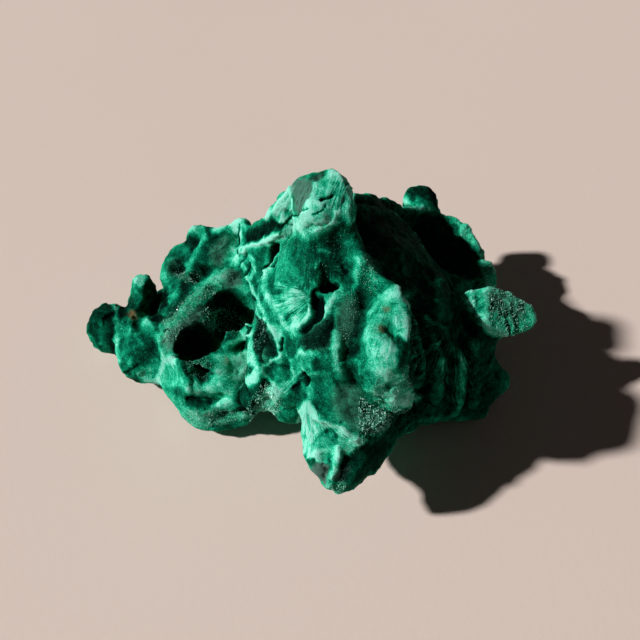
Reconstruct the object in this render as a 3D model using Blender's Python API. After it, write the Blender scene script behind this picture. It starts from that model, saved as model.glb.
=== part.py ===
"""A fibrous malachite specimen: one stone, about 72 mm long, that rests on its broken base.

The stone is grown the way the real one is. Swollen masses and angular crags run together into a main peak,
a hollow-walled left lobe and a ragged right rim. Ribs, lips, plates and warts stand on them, and cavities
and cracks are cut into them. The skin is then weathered, thinned to a modest number of facets, and broken
off flat underneath. Lengths in the tables are millimetres: +X is to the right, +Y to the back and +Z up.
"""

import random
from math import ceil, radians

import bmesh
import bpy
from mathutils import Euler, Matrix, Vector, noise

NAME = "malachite_specimen"
MM = 0.001

# Working resolution of the growth, and the budget of the finished solid.
MASS_VOXEL = 0.7 * MM
FINE_VOXEL = 0.5 * MM
MOST_TRIANGLES = 9400

# How far the weathering moves the skin, and how long its waves are.
SWELL_DEPTH, SWELL_WAVE = 1.0, 6.5
GRAIN_DEPTH, GRAIN_WAVE = 0.35, 2.2

# The stone is broken off flat at this height, which leaves the small faces that it rests on.
BASE_HEIGHT = 1.3
GROUND_BLOCK = 120

# Grape-like warts cover the back and the low sides, where the growth was free. They keep to this box.
WART_COUNT, WART_SEED = 150, 11
WART_RADII = (1.1, 2.6)
WART_ZONE = ((-25, 3, 0), (30, 40, 16))

# Deep green, with the soft gloss of silk.
MALACHITE = (0.008, 0.16, 0.085, 1.0)
MALACHITE_ROUGHNESS = 0.62

# Swollen masses. name: centre, radii, turn in degrees, squareness (2 is round, 4 boxy, 1.5 pointed).
MASSES = {
    # the main peak
    "heart": ((5, 0, 16), (13.5, 13, 16), (0, 0, 0), 2.4),
    "summit": ((0.9, 3.6, 33.2), (3.9, 4.6, 7.2), (0, 0, 8), 3.4),
    "north_shoulder": ((6.5, 8, 20), (8, 7.5, 10), (0, 0, 0), 2.3),
    "north_west": ((-7, 8.5, 17), (6.5, 7, 10.5), (0, 20, 0), 2.2),
    "upper_face": ((-0.3, -2.5, 25.5), (6.6, 8, 8), (0, 0, 0), 2.4),
    "lower_face": ((2.6, -8.8, 22.6), (7.0, 8.8, 9.5), (0, 0, 0), 2.3),
    "west_edge": ((-5, -4, 20), (3.6, 6.5, 8), (0, 0, 0), 2.2),
    "east_boss": ((8.4, -13, 26.5), (4, 5.4, 6.8), (0, 0, 0), 2.4),
    "apron": ((4.5, -13.5, 19.5), (8.2, 6.4, 7.0), (0, 0, 0), 2.2),
    "front_west": ((-3.6, -8.8, 14.5), (5.4, 5.6, 9), (0, 0, 0), 2.2),
    # the right side
    "flank": ((13.5, -3, 17), (7.5, 9, 11), (0, 0, 0), 2.2),
    "right_block": ((19.3, -3.2, 9.2), (9, 7.8, 9.2), (0, 0, 12), 2.5),
    "ledge_root": ((14, -9.4, 9.0), (7.5, 5.6, 4.6), (0, 0, 20), 2.2),
    "right_back": ((17.8, 11.5, 9.4), (10.4, 10.6, 9.2), (0, 8, -20), 2.2),
    "back_boss": ((3.5, 13.5, 11.5), (7.5, 5.5, 9.0), (12, 0, 0), 2.2),
    "back_foot": ((-7.5, 12.0, 6.5), (6.5, 5.0, 6.0), (0, 0, 15), 2.2),
    "back_knob": ((17.4, 22.6, 18.4), (3.1, 2.6, 2.9), (0, 0, 10), 3.0),
    "side_knob": ((27.3, 9.4, 14.6), (1.9, 2.6, 3.6), (0, 0, 0), 2.3),
    "ear_root": ((25.2, -0.8, 16.2), (4.4, 3.6, 4.4), (0, 0, 0), 2.2),
    "low_nodule": ((28.6, -6.6, 7.4), (2.3, 2.2, 2.9), (0, 0, 0), 2.0),
    "right_foot": ((23.5, -7.6, 5.2), (5, 3.6, 4.4), (0, 0, 0), 2.6),
    # the left lobe
    "lobe": ((-16.5, 2.8, 9.6), (9.6, 12.6, 9.4), (0, -24, 0), 2.4),
    "lobe_front": ((-17.4, -7.6, 7.2), (7.4, 5.4, 5.4), (0, -8, 0), 2.2),
    "lobe_shoulder": ((-23.0, 10.6, 11.0), (4.2, 5.0, 6.1), (0, 0, 0), 2.6),
    "lobe_back": ((-17.0, 12.4, 13.4), (5.6, 4.0, 6.6), (0, -16, 0), 2.4),
    "upper_knob": ((-20.6, 15.6, 16.8), (2.2, 2.1, 3.2), (0, 0, 0), 2.4),
    "wing": ((-28.2, -0.8, 6.8), (5.6, 5.6, 4.6), (0, 0, 0), 2.3),
    "tail_knob": ((-36.2, 3.8, 7.0), (3.3, 4.4, 4.4), (0, 0, 0), 2.3),
    "tail_neck": ((-32.4, 2.8, 7.2), (3.0, 4.4, 3.6), (0, 0, 0), 2.2),
    "horn": ((-30.8, 10.0, 9.8), (1.9, 2.5, 3.4), (0, 0, 0), 2.4),
    "horn_root": ((-31.3, 8.9, 7.4), (1.9, 2.4, 3.0), (0, 0, 0), 2.4),
    "gap_floor": ((-28.4, 11.6, 3.4), (2.9, 4.4, 3.0), (0, 0, 0), 2.2),
}

# Angular crags, each the hull of its corners.
CRAGS = {
    "front_spike": [
        (-2.4, -18.6, 21.2), (3.4, -21.8, 22.0), (9.0, -20.6, 19.6), (-3.0, -21.2, 16.4),
        (-2.4, -24.0, 14.6), (-0.4, -26.4, 15.8), (4.6, -27.0, 16.4), (2.6, -28.2, 12.2),
        (4.2, -27.6, 11.2), (9.4, -22.8, 11.8), (11.6, -19.8, 12.4), (-1.0, -15.0, 9.0),
        (9.0, -14.0, 8.0), (-2.0, -12.0, 17.0), (10.5, -12.0, 18.0),
    ],
    "summit_crag": [
        (-3.2, 8.0, 38.4), (1.2, 7.4, 41.0), (3.0, 6.2, 41.6), (4.7, 2.8, 39.2), (4.6, -2.2, 35.8),
        (-3.6, 5.0, 37.4), (-3.4, 3.0, 33.6), (1.6, 0.0, 37.6), (4.0, 6.8, 30.0), (-2.6, 7.0, 30.0),
    ],
    "west_facet": [
        (-27.4, -3.6, 11.4), (-22.2, -4.6, 12.8), (-20.8, -8.8, 8.6), (-25.2, -8.6, 6.6),
        (-28.4, -6.8, 7.4), (-24.0, -2.0, 6.0),
    ],
    "ear": [
        (20.5, -0.5, 25.0), (22.1, 0.2, 25.0), (24.5, 0.0, 24.8), (31.0, 0.0, 23.0), (33.4, -2.2, 21.0),
        (33.0, -4.4, 19.2), (28.4, -6.6, 19.6), (24.3, -5.4, 21.4), (21.0, -2.9, 24.0), (22.5, -4.9, 22.8),
        (24.0, -2.0, 14.6), (31.0, -2.6, 16.4),
    ],
}

# Ribs, lips and plates: (radius, how far the rib reaches down into the stone, points on its crest).
RIBS = {
    "terminator": (1.7, 4, [
        (4.6, 2, 36), (4.6, -2, 34.2), (6.8, -5.6, 33.4), (9.4, -8.6, 33), (10.4, -11.8, 32)]),
    "saddle": (1.5, 8, [
        (4.6, 9.4, 32.2), (6.3, 11.2, 30), (8.5, 13.4, 27.4), (10.7, 15.4, 25.4), (13.1, 17.2, 23.4)]),
    "west_arete": (1.9, 8, [(-2.8, 7.8, 35.6), (-5.0, 8.2, 32.4), (-7.6, 9.0, 27.4), (-11.0, 12.4, 22.4)]),
    "arete_plate": (1.1, 4, [(-10.4, 8.6, 23.4), (-8, 7.2, 26.0), (-5.2, 6.0, 28.8)]),
    "west_lip": (1.1, 3, [
        (-6.2, 2.2, 28), (-8.0, -0.6, 26), (-8.2, -3.2, 25), (-7.4, -6, 25), (-5.8, -8.8, 25),
        (-3.8, -11.2, 25)]),
    "face_fold": (1.2, 3, [(1.8, -9.4, 31.2), (1.8, -12, 30.4), (1.7, -14.6, 28.6), (2.6, -17.4, 25.6)]),
    "boss_rim": (1.4, 4, [
        (9, -8.8, 32.6), (6.8, -11.0, 32), (6.0, -14.2, 31), (6.2, -17.0, 29), (7.8, -18.6, 27),
        (10.4, -18.4, 25)]),
    "apron_edge": (1.2, 2, [(-2.2, -18.4, 21), (3.2, -21.2, 21.4), (8.6, -20.2, 19.4)]),
    # the shaded right face, with fibrous plates that spread downwards
    "soft_ridge": (2.2, 8, [
        (5, 6.4, 33), (8, 9, 29), (11.6, 9.2, 26), (15, 8, 22.6), (18, 5.6, 19.4), (22, 4, 16)]),
    "plate_a": (0.9, 5, [(11.6, -9.2, 31), (13.4, -11.4, 27.4), (14.4, -13.0, 22.6)]),
    "plate_b": (0.9, 6, [(14.0, -7.6, 28), (16.4, -10.8, 24.0), (17.4, -13.4, 18)]),
    "plate_c": (0.9, 5, [(17.0, -6.6, 24.4), (20.4, -10.0, 18.6), (21.8, -12.2, 11.6)]),
    "plate_d": (0.9, 5, [(20.6, -4.4, 20.4), (23.6, -8.2, 15.4), (24.2, -10.8, 10)]),
    "plate_e": (0.9, 4, [(18.4, -2.0, 24), (22.6, -2.6, 19.4), (26.4, -4.4, 14.4)]),
    "low_ledge": (1.4, 3, [(9.6, -17.6, 12.6), (15.0, -13.6, 9.4), (20.6, -11.2, 6.6), (27.0, -9.8, 4.6)]),
    # the lit rim behind the right bowl
    "back_rim": (1.6, 7, [
        (8, 13.5, 24.6), (11.4, 16.4, 22.6), (15.1, 18.4, 20.4), (20.8, 19.8, 17.4), (24.4, 17.8, 16.2),
        (26.6, 14.6, 15), (27.8, 11.2, 13)]),
    # the walls of the left lobe
    "lobe_wall": (1.4, 5, [
        (-15.6, 14.4, 20), (-12.4, 14.8, 21.8), (-11.2, 10.6, 20.8), (-9.9, 5.6, 19.8), (-9.0, 1.0, 18.8),
        (-8.6, -3.8, 17.6), (-8.6, -7.4, 15.8), (-9.4, -10.2, 12.8), (-11.2, -11.0, 10.4)]),
    "lobe_band": (1.1, 2, [(-24.2, -3.4, 12.6), (-20.4, -1, 14.8), (-16.6, 1.4, 16.8), (-13.0, 3.6, 18)]),
    "lobe_brow": (1.4, 4, [
        (-26.4, 12.2, 14.4), (-24.4, 14.0, 15.8), (-20.6, 15.2, 17.6), (-15.6, 14.4, 19.8)]),
    "cavity_sill": (1.1, 3, [
        (-22.4, -5, 10.6), (-18.8, -7.2, 10.8), (-14.9, -6.4, 12), (-12.2, -4.6, 14), (-9, -3.6, 17)]),
    "lobe_foot": (1.4, 2, [
        (-24.6, -8.2, 6.8), (-22, -10.4, 6), (-18.2, -12.2, 5.6), (-13.8, -12.6, 5.8), (-11, -11.6, 7.4)]),
    "wing_rib": (1.0, 2, [(-31.2, 4.6, 10.4), (-31.4, 1.6, 10.8), (-31, -1.6, 9.8), (-30.2, -4.6, 7.8)]),
}

# Rounded nodules between the lobe and the front spike. name: centre, radii, turn, squareness.
NODULES = {
    "pair_left": ((-5.2, -11.4, 22.2), (2.2, 2.2, 2.2), (0, 0, 0), 2.0),
    "pair_right": ((-2.2, -13.4, 22.8), (2.0, 2.0, 2.2), (0, 0, 0), 2.0),
    "disc": ((-7.2, -12.2, 18.2), (2.3, 1.7, 2.3), (-20, 0, 0), 2.4),
    "streaked": ((-4.6, -14.4, 18.6), (2.8, 2.4, 3.0), (0, 0, 0), 2.0),
    "fringe": ((-8.6, -12.0, 11.0), (2.6, 2.0, 2.2), (0, 0, 0), 2.6),
    "hanging": ((-4.6, -14.2, 11.4), (2.8, 2.2, 2.8), (0, 0, 0), 2.2),
}

# Hollows cut out of the stone. name: centre, radii, turn, squareness.
HOLLOWS = {
    "great_cavity": ((-13.4, -0.2, 15.8), (3.9, 3.6, 8.6), (0, 0, 0), 2.4),
    "lower_cavity": ((-18.0, -4.4, 12.6), (4.4, 2.9, 7.0), (0, 0, 0), 2.4),
    "lobe_cup": ((-11.6, -7.2, 17.4), (2.2, 2.6, 2.6), (0, 0, 0), 2.2),
    "lobe_bowl": ((-17.6, -8.2, 12.9), (2.6, 1.6, 1.6), (0, 0, 0), 2.0),
    "lobe_crescent": ((-17.4, -11.2, 10.4), (4.2, 1.0, 1.9), (0, 0, 0), 2.0),
    "lobe_pit": ((-19.2, 6.9, 17.4), (2.4, 2.0, 1.6), (0, 0, 0), 2.0),
    "shoulder_pit": ((-23.6, 8.9, 17.0), (1.9, 2.0, 1.4), (0, 0, 0), 2.0),
    "lobe_eye": ((-11.9, 8.0, 20.4), (0.9, 0.9, 3.4), (0, 0, 0), 2.0),
    "wing_gap": ((-27.4, 9.6, 9.5), (1.7, 4.4, 4.6), (0, 0, 0), 2.2),
    "right_bowl": ((20.6, 14.0, 19.2), (6.0, 6.0, 8.6), (0, 0, 0), 2.2),
    "boss_hollow": ((9.2, -14.6, 33.4), (1.7, 3.0, 1.9), (0, 0, 0), 2.0),
    "peak_slit": ((-7.4, 3.2, 26.6), (0.9, 2.2, 4.6), (0, -30, -25), 2.0),
    "face_dip": ((1.6, -5.2, 34.6), (2.2, 2.6, 2.4), (0, 0, 0), 2.0),
    "spike_hollow": ((0.4, -25.0, 19.4), (1.7, 1.7, 1.8), (0, 0, 0), 2.0),
}

# Cracks cut along a line: (radius, how far down they reach, points on their upper end).
CRACKS = {
    "face_crack": (0.8, 1.5, [
        (-3.4, -10.6, 26.4), (-1.4, -9.4, 29), (-0.4, -7.4, 31.4), (1.8, -5.8, 33.4)]),
    "lobe_channel": (0.8, 3, [
        (-8.4, 6.4, 22), (-7.4, 2, 21.4), (-6.9, -3, 20.4), (-6.9, -8, 18.4), (-7.4, -11, 15)]),
    "under_lobe": (1.5, 0, [(-12.4, -12.8, 8.6), (-9.8, -12.0, 8.0), (-7.4, -12.6, 7.4)]),
}


def clear_scene():
    for obj in list(bpy.data.objects):
        bpy.data.objects.remove(obj)


def add_lump(bm, centre, radii, turn=(0, 0, 0), squareness=2.0, detail=4):
    """One swollen body: an icosphere pulled towards a box or a point, in millimetres."""
    made = bmesh.ops.create_icosphere(bm, subdivisions=detail, radius=1.0)["verts"]
    place = Matrix.LocRotScale(Vector(centre), Euler([radians(t) for t in turn]), Vector(radii))
    for vert in made:
        span = sum(abs(c) ** squareness for c in vert.co) ** (1 / squareness)
        vert.co = place @ (vert.co / span)


def add_crag(bm, corners):
    """One angular body: the hull of its corners."""
    made = [bm.verts.new(corner) for corner in corners]
    bm.verts.ensure_lookup_table()
    hull = bmesh.ops.convex_hull(bm, input=made)
    bmesh.ops.delete(bm, geom=hull["geom_interior"], context="VERTS")


def smooth_path(points, step):
    """Points about one step apart on a smooth curve through the given ones."""
    knots = [Vector(p) for p in points]
    knots = [2 * knots[0] - knots[1], *knots, 2 * knots[-1] - knots[-2]]
    path = []
    for a, b, c, d in zip(knots, knots[1:], knots[2:], knots[3:]):
        count = ceil((c - b).length / step)
        for i in range(count):
            t = i / count
            path.append(0.5 * (2 * b + (c - a) * t + (2 * a - 5 * b + 4 * c - d) * t**2
                               + (3 * b - a - 3 * c + d) * t**3))
    return [*path, knots[-2]]


def add_rib(bm, radius, reach, points):
    """A rounded rib: lumps that run together along a smooth crest, and reach down into the stone."""
    path = smooth_path(points, radius * 0.6)
    for i, crest in enumerate(path):
        along = i / (len(path) - 1)
        size = radius * (0.65 + 0.35 * (1 - (2 * along - 1) ** 4))
        centre = crest - Vector((0, 0, reach / 2))
        add_lump(bm, centre, (size, size, size + reach / 2), detail=2)


def mesh_object(name, bm):
    bmesh.ops.scale(bm, vec=(MM, MM, MM), verts=bm.verts)
    mesh = bpy.data.meshes.new(name)
    bm.to_mesh(mesh)
    bm.free()
    obj = bpy.data.objects.new(name, mesh)
    bpy.context.scene.collection.objects.link(obj)
    return obj


def apply_modifiers(obj):
    """Makes what the modifiers show the object's own mesh."""
    graph = bpy.context.evaluated_depsgraph_get()
    graph.update()
    mesh = bpy.data.meshes.new_from_object(obj.evaluated_get(graph))
    obj.modifiers.clear()
    obj.data = mesh


def fuse(obj, voxel, smoothing):
    """Runs overlapping bodies together into one skin."""
    remesh = obj.modifiers.new("fuse", "REMESH")
    remesh.mode = "VOXEL"
    remesh.voxel_size = voxel
    soften = obj.modifiers.new("soften", "SMOOTH")
    soften.factor = 0.5
    soften.iterations = smoothing
    apply_modifiers(obj)


def cut_away(stone, cutter):
    """Adds the cut of this cutter to the stone's modifiers."""
    cutter.hide_render = True
    cutter.display_type = "WIRE"
    cut = stone.modifiers.new(cutter.name, "BOOLEAN")
    cut.operation = "DIFFERENCE"
    cut.object = cutter


def grow_masses():
    bm = bmesh.new()
    for lump in MASSES.values():
        add_lump(bm, *lump)
    for corners in CRAGS.values():
        add_crag(bm, corners)
    stone = mesh_object(NAME, bm)
    fuse(stone, MASS_VOXEL, 3)
    return stone


def add_warts(bm, skin):
    """Scatters warts over the back and the low sides of this skin, half sunk into it."""
    pick = random.Random(WART_SEED)
    low_corner, high_corner = (Vector(corner) * MM for corner in WART_ZONE)
    spots = [
        v for v in skin.vertices
        if v.normal.y > 0.1 and all(a < c < b for a, c, b in zip(low_corner, v.co, high_corner))]
    for _ in range(WART_COUNT):
        spot = pick.choice(spots)
        radius = pick.uniform(*WART_RADII)
        centre = spot.co / MM - spot.normal * radius * 0.45
        add_lump(bm, centre, (radius, radius, radius * pick.uniform(0.8, 1.2)), detail=2)


def add_relief(stone):
    """Fuses the ribs, nodules and warts onto the masses."""
    bm = bmesh.new()
    for rib in RIBS.values():
        add_rib(bm, *rib)
    for nodule in NODULES.values():
        add_lump(bm, *nodule)
    add_warts(bm, stone.data)
    bmesh.ops.scale(bm, vec=(MM, MM, MM), verts=bm.verts)
    bm.from_mesh(stone.data)
    bm.to_mesh(stone.data)
    bm.free()
    fuse(stone, FINE_VOXEL, 1)


def carve_hollows(stone):
    bm = bmesh.new()
    for hollow in HOLLOWS.values():
        add_lump(bm, *hollow)
    for crack in CRACKS.values():
        add_rib(bm, *crack)
    cutter = mesh_object("hollow_cutter", bm)
    fuse(cutter, FINE_VOXEL, 1)
    cut_away(stone, cutter)
    fuse(stone, FINE_VOXEL, 1)


def keep_outer_skin(stone):
    """Drops sealed bubbles and loose crumbs, so that one closed skin is left."""
    bm = bmesh.new()
    bm.from_mesh(stone.data)
    unseen = set(bm.verts)
    skins = []
    while unseen:
        front = [unseen.pop()]
        skin = set(front)
        while front:
            spot = front.pop()
            joined = {edge.other_vert(spot) for edge in spot.link_edges} & unseen
            unseen -= joined
            skin |= joined
            front.extend(joined)
        skins.append(skin)
    outer = max(skins, key=len)
    bmesh.ops.delete(bm, geom=[v for v in bm.verts if v not in outer], context="VERTS")
    bm.to_mesh(stone.data)
    bm.free()


def weather(stone):
    """Moves the skin in and out along its normals, in broad swells and in a finer grain."""
    skin = [(v.co.copy(), v.normal.copy()) for v in stone.data.vertices]
    moved = []
    for at, out in skin:
        swell = noise.noise(at / MM / SWELL_WAVE) * SWELL_DEPTH
        grain = noise.noise(at / MM / GRAIN_WAVE) * GRAIN_DEPTH
        moved.extend(at + out * (swell + grain) * MM)
    stone.data.vertices.foreach_set("co", moved)
    stone.data.update()


def thin_out(stone):
    """Keeps only the facets that the form needs."""
    stone.data.calc_loop_triangles()
    thin = stone.modifiers.new("thin", "DECIMATE")
    thin.ratio = MOST_TRIANGLES / len(stone.data.loop_triangles)
    thin.use_collapse_triangulate = True
    apply_modifiers(stone)


def break_base(stone):
    """Cuts the stone flat underneath, so that it rests on the faces that are left."""
    bm = bmesh.new()
    bmesh.ops.create_cube(bm, size=GROUND_BLOCK)
    bmesh.ops.translate(bm, vec=(0, 0, BASE_HEIGHT - GROUND_BLOCK / 2), verts=bm.verts)
    cut_away(stone, mesh_object("ground_cutter", bm))
    apply_modifiers(stone)


def stand_at_origin(stone):
    """Puts the origin under the middle of the stone's box, on the ground."""
    places = [v.co for v in stone.data.vertices]
    (left, right), (front, back), (bottom, _) = (
        (min(place[i] for place in places), max(place[i] for place in places)) for i in range(3))
    stone.data.transform(Matrix.Translation((-(left + right) / 2, -(front + back) / 2, -bottom)))


def paint(stone):
    material = bpy.data.materials.new("malachite")
    material.use_nodes = True
    shader = material.node_tree.nodes["Principled BSDF"]
    shader.inputs["Base Color"].default_value = MALACHITE
    shader.inputs["Roughness"].default_value = MALACHITE_ROUGHNESS
    shader.inputs["Metallic"].default_value = 0.0
    stone.data.materials.append(material)


def main():
    clear_scene()
    stone = grow_masses()
    add_relief(stone)
    carve_hollows(stone)
    keep_outer_skin(stone)
    weather(stone)
    thin_out(stone)
    break_base(stone)
    paint(stone)
    stand_at_origin(stone)


main()
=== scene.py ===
"""Looks of the malachite specimen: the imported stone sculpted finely, coloured and lit.

The skin of the solid is remeshed, smoothed and sculpted with lips, folds, cracks, warts and bundles of fibre. A mark
that belongs to one place is drawn by points as the camera sees them, in pixels of the 640 px square frame, and is
then part of the mesh. Everything else comes from noise in the stone's own millimetres. Small crystals grow on top.
"""
import math

import bmesh
import bpy
import numpy as np
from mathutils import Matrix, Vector
from mathutils.bvhtree import BVHTree


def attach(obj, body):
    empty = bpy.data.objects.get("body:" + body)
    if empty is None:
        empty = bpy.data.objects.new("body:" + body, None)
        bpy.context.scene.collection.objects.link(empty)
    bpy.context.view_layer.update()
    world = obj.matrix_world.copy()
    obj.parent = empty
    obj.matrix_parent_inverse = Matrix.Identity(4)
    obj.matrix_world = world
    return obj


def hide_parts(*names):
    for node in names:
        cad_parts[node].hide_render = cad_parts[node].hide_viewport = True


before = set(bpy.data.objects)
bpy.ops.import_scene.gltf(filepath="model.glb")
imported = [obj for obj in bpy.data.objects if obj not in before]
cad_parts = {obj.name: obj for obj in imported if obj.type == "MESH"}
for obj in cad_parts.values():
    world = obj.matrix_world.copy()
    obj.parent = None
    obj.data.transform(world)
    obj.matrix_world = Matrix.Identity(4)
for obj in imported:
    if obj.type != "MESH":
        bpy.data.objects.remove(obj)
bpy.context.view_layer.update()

MM = 0.001
NODE = "malachite_specimen"

# Camera: it looks down on the stone along +Y.
FRAME_PX = 640
FOCAL_PX = 660.0
SENSOR_WIDTH = 36.0
TILT = math.radians(55)
DISTANCE = 105.0
AIM = np.array((3.50, 1.28, 13.7))
AHEAD = np.array((0.0, math.cos(TILT), -math.sin(TILT)))
UPWARD = np.array((0.0, math.sin(TILT), math.cos(TILT)))
EYE = AIM - AHEAD * DISTANCE

# Light: a low sun at the left, and an even fill.
SUN_HEIGHT = math.radians(36.5)
SUN_TURN = math.radians(3)
SUN_WIDTH = math.radians(3)
SUN_STRENGTH = 4.35
SUN_COLOUR = (1.0, 0.965, 0.92)
FILL_STRENGTH = 0.027
FILL_COLOUR = (1.0, 0.82, 0.79, 1.0)

# Floor: half its width in metres.
FLOOR_REACH = 1.6

# Skin, in millimetres.
SKIN_VOXEL = 0.22
SKIN_ROUNDS = 14
SKIN_TRIANGLES = 192000
SEEN_GAP = 0.6
SPREAD = 0.6
LEAST_SEEN = 0.05

# Marks waver where they lie on the skin: px, size in mm and octaves of the noise, and its seed.
WAVERS = ((1.5, 1.2, 2, 81), (0.9, 0.4, 1, 85))

# How many straight steps stand for the curve between two points of a mark.
CURVE_STEPS = 3

# Relief of the whole skin: heights and spacings in mm.
SWELL_HEIGHT = 0.22
WART_HEIGHT = 0.40
WART_SPACING = 1.9
FIBRE_HEIGHT = 0.10
FACET_SLOPE = 0.20
FACET_SPACING = 2.4
GRIT_HEIGHT = 0.15

# Bundles of fibre: their spacing in mm. Needles of a fan: their scale in px, and how much less they change along
# their length than across it.
BUNDLE_SPACING = 7.5
NEEDLE_PX = 30
NEEDLE_STRETCH = 0.12

# Tone from form, for edges, folds and swells, pale on edges and swells (partly the stone's pale rims, partly painted
# highlight)
# and dark in hollows as painted shade: rounds of averaging, tone for each mm, how much more of it where the camera
# doesn't see, and the least and most mm that count.
FORM_SHADE_TONES = ((6, 0.80, 0.40, -0.15, 0.15), (40, 0.75, 0.35, -0.35, 0.25), (90, 0.0, 0.25, -0.60, 0.60))

# Crystals of the druse: the most of the skin's points that carry one, and their least and greatest size in mm. The
# other lengths are parts of a crystal's size. Corner 0 is the tip.
CRYSTAL_SHARE = 0.80
CRYSTAL_SIZES = (0.07, 0.16)
CRYSTAL_HEIGHT = 1.2
CRYSTAL_RADIUS = 0.5
CRYSTAL_LEAN = 0.9
CRYSTAL_FLOOR = 0.6
CRYSTAL_SIDES = 4
CRYSTAL_FACES = ((0, 1, 2), (0, 2, 3), (0, 3, 4), (0, 4, 1), (1, 3, 2), (1, 4, 3))

# Greens by tone, from near black at 0 to nearly white at 1.
GREENS = (
    (0.00, (0.0005, 0.005, 0.004)),
    (0.20, (0.0008, 0.026, 0.015)),
    (0.40, (0.0015, 0.095, 0.050)),
    (0.55, (0.0025, 0.215, 0.112)),
    (0.68, (0.0060, 0.400, 0.215)),
    (0.80, (0.0320, 0.600, 0.360)),
    (0.90, (0.0900, 0.780, 0.510)),
    (1.00, (0.3300, 0.940, 0.760)),
)
GREY_GREEN = (0.085, 0.185, 0.150, 1.0)
GREY_DARK = (0.003, 0.009, 0.008, 1.0)
IRON_STAIN = (0.270, 0.130, 0.060, 1.0)
CRYSTAL_GREEN = (0.02, 0.34, 0.21, 1.0)
CRYSTAL_PALE = (0.40, 0.86, 0.70, 1.0)
PAPER_DARK = (0.73, 0.61, 0.56, 1.0)
PAPER_LIGHT = (0.77, 0.65, 0.60, 1.0)

# Noise in the shaders: its scale, detail and roughness. Paper is in metres, and streaks run along the grain.
SPECKLE = (5.0 / MM, 3.0, 0.75)
MOTTLE = (1.3 / MM, 2.0, 0.6)
GLINT_FLECKS = (7.0 / MM, 1.0, 0.5)
CRYSTAL_MOTTLE = (3.0 / MM, 1.0, 0.5)
STREAKS = (17.0, 3.0, 0.65)
PAPER_PATCHES = (9.0, 2.0, 0.5)
PAPER_GRAIN = (900.0, 2.0, 0.6)

# The tone of skin with no mark on it, the painted shade of a crack, and how strong a crack's painted shade is.
GROUND_TONE = 0.43
CRACK_SHADE_TONE = 0.06
CRACK_SHADE_STRENGTH = 0.75

# How much calmer the skin is in a calm patch and on a band.
PATCH_CALM = 0.8
BAND_CALM = 0.7

# The marks. Their points are x,y pairs in px.

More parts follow.
